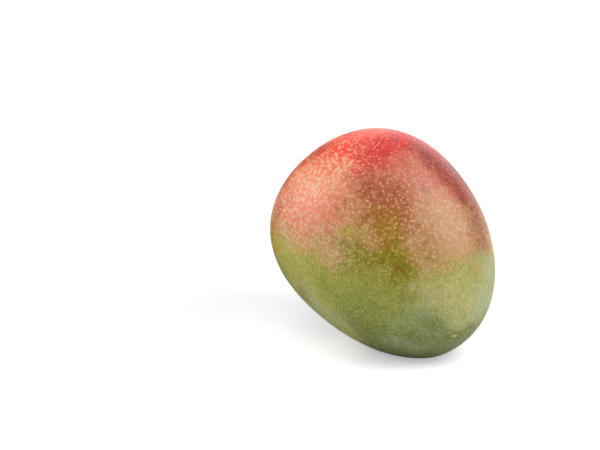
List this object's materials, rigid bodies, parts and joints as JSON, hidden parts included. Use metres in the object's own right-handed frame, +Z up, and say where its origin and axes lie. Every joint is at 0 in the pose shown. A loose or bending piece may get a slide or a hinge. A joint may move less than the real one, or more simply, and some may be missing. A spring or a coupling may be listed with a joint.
{
  "type": "mango",
  "caption": "Whole ripe mango with a short cut stalk, leaning with its tip low and resting on a small flat spot.",
  "frame": {"origin": "middle of the part's bounding box, on the surface that it rests on", "axes": "+Z up, away from the surface; the fruit's length runs from the stem end, high at -X +Y, to the tip, low at +X -Y; -Y is the side seen from the front"},
  "size_m": [0.11, 0.109, 0.1034],
  "materials": {
    "skin": null,
    "stalk": "dull grey-green bark with a dry brown cut end"
  },
  "bodies": {
    "root": {"fruit": "skin", "stalk": "stalk"}
  },
  "joints": []
}
